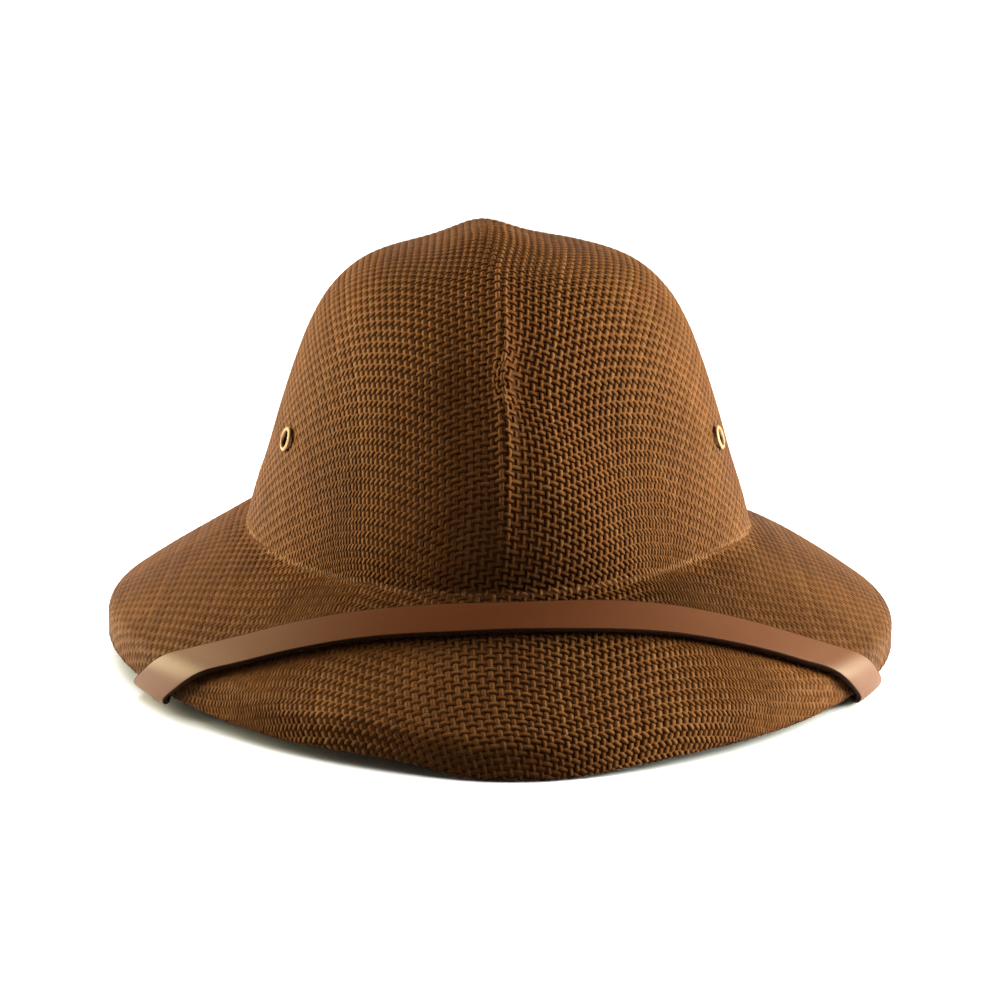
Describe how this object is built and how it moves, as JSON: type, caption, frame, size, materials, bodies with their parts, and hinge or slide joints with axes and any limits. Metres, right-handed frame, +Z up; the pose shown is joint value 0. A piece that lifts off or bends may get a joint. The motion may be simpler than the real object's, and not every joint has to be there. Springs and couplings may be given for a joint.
{
  "type": "straw pith helmet",
  "caption": "Woven straw sun helmet with a tall crown, a sloping brim all round, a vent eyelet in each side and a leather chin strap worn over the front of the brim.",
  "frame": {"origin": "on the resting surface, under the middle of the hat", "axes": "+Z up through the crown, -Y towards the front of the hat, +X towards its right as seen from the front"},
  "size_m": [0.295, 0.3324, 0.1587],
  "materials": {
    "straw": "matt brown plain-woven paper straw with small open gaps",
    "leather": "smooth satin tan to red-brown leather with a dark edge",
    "brass": "bright pale brass",
    "rivet_brass": "plain dull brass"
  },
  "bodies": {
    "root": {"straw_shell": "straw", "chin_strap": "leather", "eyelet_left": "brass", "eyelet_right": "brass", "strap_rivet_left": "rivet_brass", "strap_rivet_right": "rivet_brass"}
  },
  "joints": []
}
